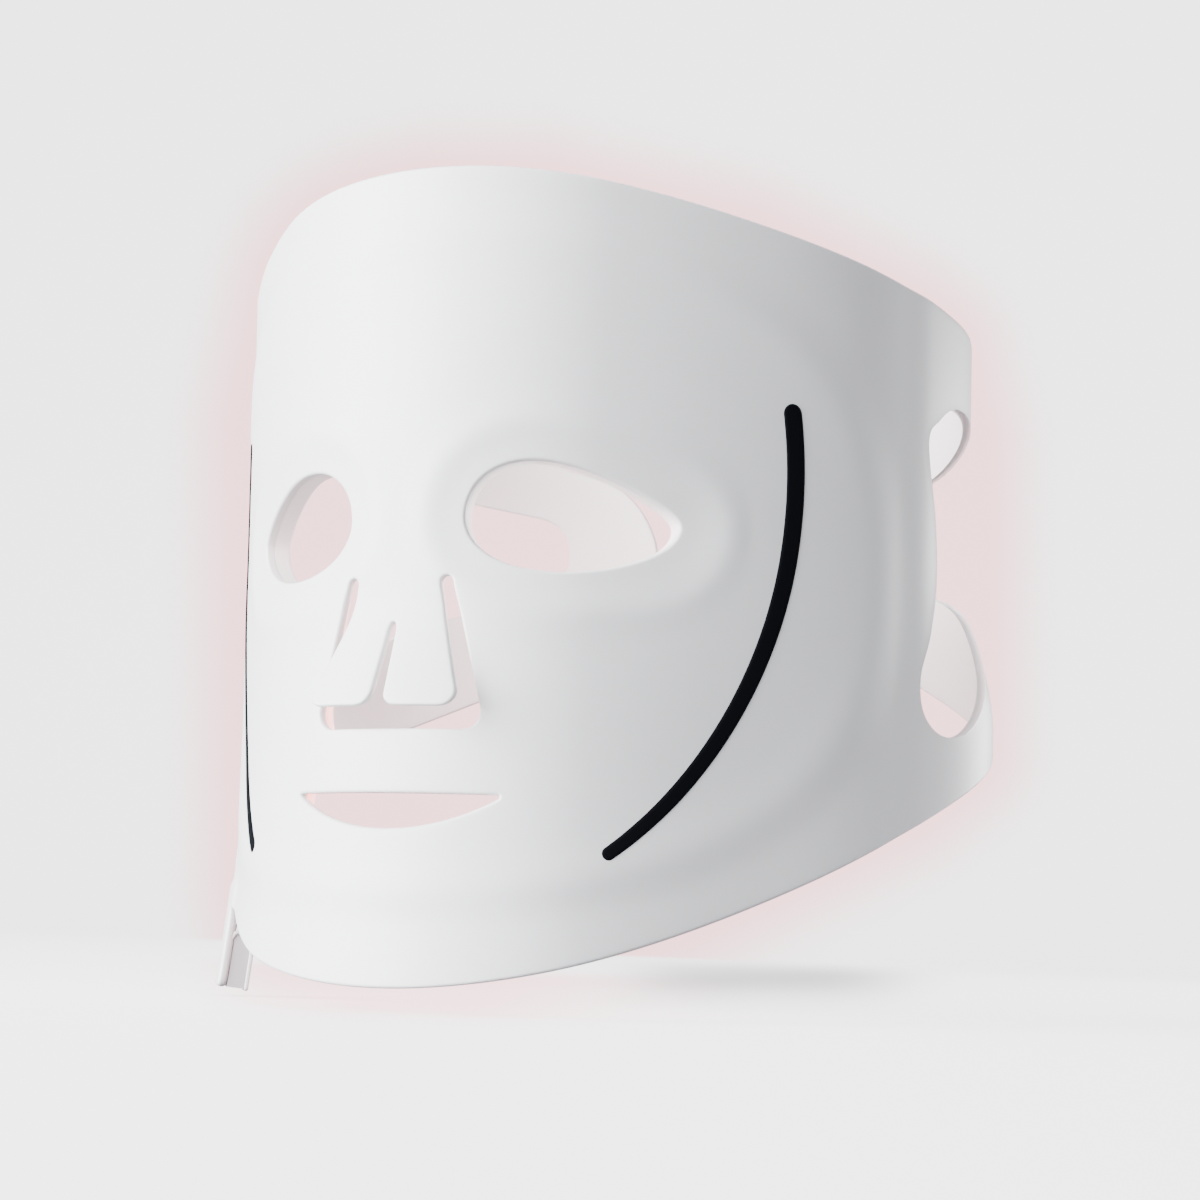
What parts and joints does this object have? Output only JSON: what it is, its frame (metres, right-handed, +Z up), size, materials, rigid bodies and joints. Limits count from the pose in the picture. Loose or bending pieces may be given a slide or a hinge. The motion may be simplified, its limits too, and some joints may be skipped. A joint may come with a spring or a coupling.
{
  "type": "light therapy face mask",
  "caption": "Flexible silicone face mask with a panel of lights, openings for the eyes, nose, mouth and ears, two folding side bands and a power inlet at the jaw",
  "frame": {"origin": "on the face side of the liner, on the middle line at the height of the bridge of the nose, where the mask rests on the wearer's face", "axes": "+X to the wearer's left, +Y backwards into the wearer's head, +Z up towards the crown"},
  "size_m": [0.2238, 0.2191, 0.2098],
  "materials": {
    "shell_silicone": "matte soft silicone, faintly satin",
    "liner_silicone": "translucent milky silicone, satin",
    "stripe_black": "smooth blue-black print with a soft sheen",
    "guard_silicone": "soft satin silicone",
    "polyimide": "satin amber film",
    "red_led": "clear red lens, glossy",
    "infrared_led": "smoked dark lens, glossy",
    "black_epoxy": "matte moulded epoxy",
    "socket_grey": "fine matte moulding",
    "contact_gold": "bright plated metal",
    "contact_spring": "bright plated spring metal",
    "board_green": "satin solder mask",
    "lead_red": "soft insulation",
    "strap_pad_grey": "fine looped fastener pile"
  },
  "bodies": {
    "front": {"outer_shell": "shell_silicone", "inlet_boot": "shell_silicone", "inner_liner": "liner_silicone", "liner_spacers": "liner_silicone", "perimeter_seal": "guard_silicone", "eye_guard_left": "guard_silicone", "eye_guard_right": "guard_silicone", "accent_stripe_left": "stripe_black", "accent_stripe_right": "stripe_black", "flex_circuit": "polyimide", "red_leds": "red_led", "infrared_leds": "infrared_led", "led_resistors": "black_epoxy", "driver_chips": "black_epoxy", "inlet_socket": "socket_grey", "inlet_tip_contact": "contact_gold", "inlet_spring_contact": "contact_spring", "inlet_board": "board_green", "inlet_leads": "lead_red"},
    "band_left": {"side_band_left": "shell_silicone", "strap_pad_left": "strap_pad_grey"},
    "band_right": {"side_band_right": "shell_silicone", "strap_pad_right": "strap_pad_grey"},
    "flap_left": {"nose_flap_left": "shell_silicone"},
    "flap_right": {"nose_flap_right": "shell_silicone"}
  },
  "joints": [
    {"name": "band_left_flex", "type": "hinge", "parent": "front", "child": "band_left", "pos_m": [0.10222, 0.08361, 0], "axis": [0, 0, -1], "range_deg": [-10, 45], "stiffness_Nm_per_rad": 0.05},
    {"name": "band_right_flex", "type": "hinge", "parent": "front", "child": "band_right", "pos_m": [-0.10222, 0.08361, 0], "axis": [0, 0, 1], "range_deg": [-10, 45], "stiffness_Nm_per_rad": 0.05},
    {"name": "nose_flap_left_flex", "type": "hinge", "parent": "front", "child": "flap_left", "pos_m": [0.00884, -0.00377, -0.014], "axis": [-0.9926, -0.1213, 0], "range_deg": [-15, 20], "stiffness_Nm_per_rad": 0.008},
    {"name": "nose_flap_right_flex", "type": "hinge", "parent": "front", "child": "flap_right", "pos_m": [-0.00884, -0.00377, -0.014], "axis": [-0.9926, 0.1213, 0], "range_deg": [-15, 20], "stiffness_Nm_per_rad": 0.008}
  ]
}
